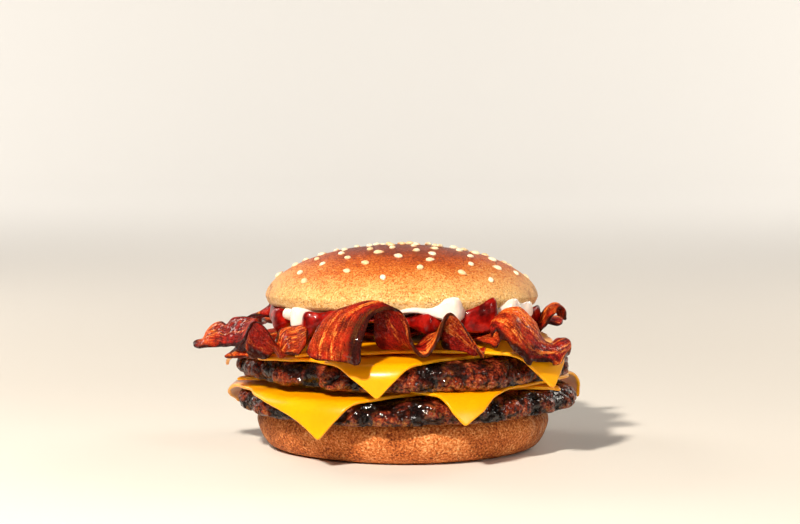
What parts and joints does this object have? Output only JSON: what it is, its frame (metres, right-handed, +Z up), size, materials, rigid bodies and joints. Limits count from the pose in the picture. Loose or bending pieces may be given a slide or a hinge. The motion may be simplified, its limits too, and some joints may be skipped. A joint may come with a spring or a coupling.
{
  "type": "double cheeseburger",
  "caption": "Sesame-seed bun stacked with grilled patties, draped cheese slices, wavy bacon, ketchup and mayonnaise, its crown tipped back a little.",
  "frame": {"origin": "centre of the heel's flat underside, on which the burger rests", "axes": "+Z up, -Y towards the front that shows most filling, +X to the right seen from the front"},
  "size_m": [0.1355, 0.1321, 0.0707],
  "materials": {
    "crust": "glazed golden-brown bun crust, paler towards its rim, with ivory sesame seeds",
    "bread": "matt toasted bread with fine pores",
    "beef": "coarse dark brown grilled mince with charred crags and a wet shine",
    "cheese": "smooth satin yellow-orange cheese",
    "bacon": "glossy red-brown fried bacon with orange streaks of fat along it",
    "ketchup": "deep red glossy tomato sauce",
    "mayonnaise": "thick glossy off-white sauce"
  },
  "bodies": {
    "root": {"bun_heel": "bread", "patty_lower": "beef", "patty_upper": "beef", "cheese_lower_under": "cheese", "cheese_lower_over": "cheese", "cheese_upper_under": "cheese", "cheese_upper_over": "cheese", "bacon_front_left": "bacon", "bacon_front": "bacon", "bacon_front_right": "bacon", "bacon_across_front": "bacon", "bacon_across_middle": "bacon", "bacon_across_back": "bacon", "bacon_back_right": "bacon", "bacon_back_left": "bacon", "ketchup": "ketchup", "mayonnaise": "mayonnaise", "bun_crown": "crust"}
  },
  "joints": []
}
